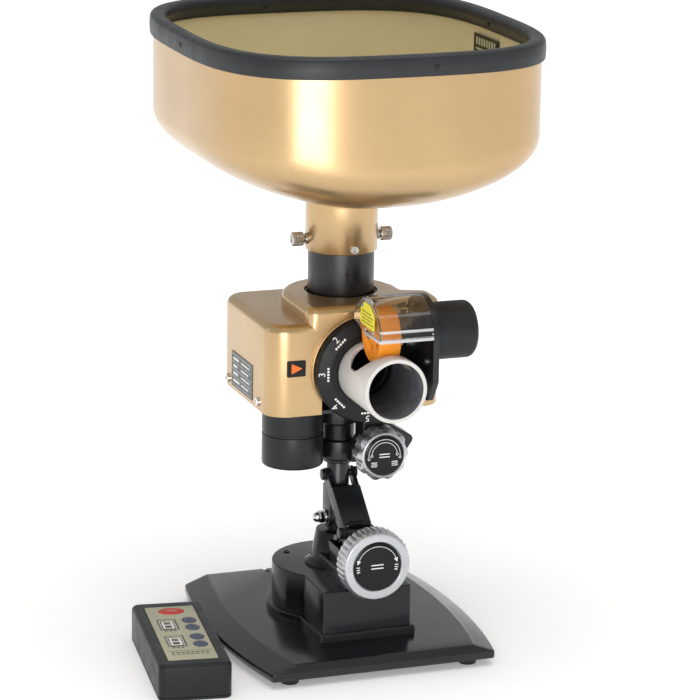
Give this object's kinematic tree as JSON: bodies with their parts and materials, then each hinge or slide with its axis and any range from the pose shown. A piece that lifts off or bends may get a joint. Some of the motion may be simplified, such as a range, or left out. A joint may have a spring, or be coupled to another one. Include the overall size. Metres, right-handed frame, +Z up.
{
  "type": "ball throwing machine",
  "caption": "Table-top ball robot: a hopper and feed tube over a swinging head with a spin-dial launcher and friction wheel, on a tilting mast, heavy base and wired control box.",
  "frame": {"origin": "centre of the flat cover under the base, on the mast's vertical axis; the rubber feet reach 6 mm lower", "axes": "+Z up, -Y the way the balls leave, +X to the right seen from the front"},
  "size_m": [0.3364, 0.3246, 0.523],
  "materials": {
    "base_black": "gloss",
    "frame_black": "satin",
    "cover_black": "satin",
    "gold_cover": "satin",
    "gold_hopper": "satin",
    "steel": "satin",
    "chrome_nut": "polished",
    "bronze": "satin",
    "knob_silver": "satin",
    "disc_black": "gloss",
    "rubber_black": "matte",
    "tyre_orange": "matte",
    "white_plastic": "satin",
    "dial_black": "satin",
    "motor_black": "matte",
    "motor_steel": "satin",
    "clear_guard": "gloss",
    "transformer_core": "matte",
    "board_green": "satin",
    "case_black": "matte",
    "panel_cream": "satin",
    "display_black": "gloss",
    "button_red": "satin",
    "button_blue": "satin"
  },
  "bodies": {
    "base": {"base_plate": "base_black", "base_cover": "cover_black", "foot_front_left": "rubber_black", "foot_front_right": "rubber_black", "foot_rear_left": "rubber_black", "foot_rear_right": "rubber_black", "base_housing": "base_black", "control_board": "board_green", "transformer": "transformer_core", "power_inlet": "case_black", "pedestal": "base_black", "screw_bush": "bronze", "remote_case": "case_black", "remote_back": "case_black", "remote_panel": "panel_cream", "remote_board": "board_green", "display_top": "display_black", "display_bottom": "display_black"},
    "mast": {"mast_fork": "frame_black", "pivot_bolt": "steel", "acorn_nut": "chrome_nut", "swing_collar": "frame_black", "angle_bracket": "frame_black"},
    "loop_link": {"loop_link": "frame_black", "link_pin_top": "steel", "link_pin_bottom": "steel"},
    "loop_nut": {"loop_nut": "steel"},
    "loop_knob": {"loop_screw": "steel", "loop_knob": "knob_silver", "loop_knob_disc": "disc_black"},
    "angle_knob": {"angle_shaft": "steel", "angle_knob": "knob_silver", "angle_knob_disc": "disc_black"},
    "head": {"head_cover": "gold_cover", "head_floor": "frame_black", "swing_spindle": "frame_black", "swing_motor": "motor_steel", "ball_chamber": "case_black", "feed_tube": "cover_black", "feed_motor_cover": "cover_black", "feed_motor": "motor_steel"},
    "feed_wheel": {"feed_wheel": "white_plastic"},
    "launcher": {"spin_dial": "dial_black", "launch_tube": "white_plastic", "motor_plate": "frame_black", "wheel_motor": "motor_black", "wheel_guard": "clear_guard"},
    "wheel": {"wheel_hub": "white_plastic", "wheel_tyre": "tyre_orange"},
    "hopper": {"hopper_shell": "gold_hopper", "hopper_rim": "rubber_black", "neck_screw": "steel"},
    "thumb_screw_left": {"thumb_screw_left": "steel"},
    "thumb_screw_right": {"thumb_screw_right": "steel"},
    "power_switch": {"power_switch": "case_black"},
    "button_power": {"button_power": "button_red"},
    "button_speed_up": {"button_speed_up": "button_blue"},
    "button_speed_down": {"button_speed_down": "button_blue"},
    "button_rate_up": {"button_rate_up": "button_blue"},
    "button_rate_down": {"button_rate_down": "button_blue"}
  },
  "joints": [
    {"name": "mast_tilt", "type": "hinge", "parent": "base", "child": "mast", "pos_m": [0, 0.001, 0.097], "axis": [1, 0, 0], "range_deg": [-10, 10]},
    {"name": "link_swing", "type": "hinge", "parent": "mast", "child": "loop_link", "pos_m": [0, -0.002, 0.135], "axis": [1, 0, 0], "range_deg": [-11, 11]},
    {"name": "nut_travel", "type": "slide", "parent": "base", "child": "loop_nut", "axis": [0, 1, 0], "range_m": [-0.0075, 0.0075]},
    {"name": "loop_knob_turn", "type": "hinge", "parent": "base", "child": "loop_knob", "pos_m": [0, -0.088, 0.0825], "axis": [0, 1, 0], "range_deg": [-260, 260]},
    {"name": "angle_knob_turn", "type": "hinge", "parent": "mast", "child": "angle_knob", "pos_m": [0.019, -0.05, 0.165], "axis": [0, 1, 0], "range_deg": [-120, 120]},
    {"name": "head_swing", "type": "hinge", "parent": "mast", "child": "head", "pos_m": [0, 0, 0.18], "axis": [0, 0, 1], "range_deg": [-20, 20]},
    {"name": "feed_turn", "type": "hinge", "parent": "head", "child": "feed_wheel", "pos_m": [-0.0425, -0.005, 0.241], "axis": [0, 0, 1], "continuous": true},
    {"name": "spin_turn", "type": "hinge", "parent": "head", "child": "launcher", "pos_m": [0, -0.065, 0.241], "axis": [0, 1, 0], "range_deg": [-180, 180]},
    {"name": "wheel_turn", "type": "hinge", "parent": "launcher", "child": "wheel", "pos_m": [0, -0.097, 0.279], "axis": [1, 0, 0], "continuous": true},
    {"name": "hopper_lift", "type": "slide", "parent": "head", "child": "hopper", "axis": [0, 0, 1], "range_m": [0, 0.043]},
    {"name": "thumb_screw_left_turn", "type": "hinge", "parent": "hopper", "child": "thumb_screw_left", "pos_m": [-0.038, 0, 0.339], "axis": [-1, 0, 0], "range_deg": [0, 720]},
    {"name": "thumb_screw_right_turn", "type": "hinge", "parent": "hopper", "child": "thumb_screw_right", "pos_m": [0.038, 0, 0.339], "axis": [1, 0, 0], "range_deg": [0, 720]},
    {"name": "power_switch_rock", "type": "hinge", "parent": "base", "child": "power_switch", "pos_m": [0.014, 0.058, 0.033], "axis": [1, 0, 0], "range_deg": [-8, 8]},
    {"name": "button_power_press", "type": "slide", "parent": "base", "child": "button_power", "axis": [0, 0, -1], "range_m": [0, 0.001], "stiffness_N_per_m": 400},
    {"name": "button_speed_up_press", "type": "slide", "parent": "base", "child": "button_speed_up", "axis": [0, 0, -1], "range_m": [0, 0.001], "stiffness_N_per_m": 400},
    {"name": "button_speed_down_press", "type": "slide", "parent": "base", "child": "button_speed_down", "axis": [0, 0, -1], "range_m": [0, 0.001], "stiffness_N_per_m": 400},
    {"name": "button_rate_up_press", "type": "slide", "parent": "base", "child": "button_rate_up", "axis": [0, 0, -1], "range_m": [0, 0.001], "stiffness_N_per_m": 400},
    {"name": "button_rate_down_press", "type": "slide", "parent": "base", "child": "button_rate_down", "axis": [0, 0, -1], "range_m": [0, 0.001], "stiffness_N_per_m": 400}
  ],
  "couplings": [
    {"joint": "link_swing", "follows": "mast_tilt", "ratio": -1.0675},
    {"joint": "nut_travel", "follows": "mast_tilt", "m_per_rad": -0.04045},
    {"joint": "loop_knob_turn", "follows": "mast_tilt", "ratio": 25.4}
  ]
}
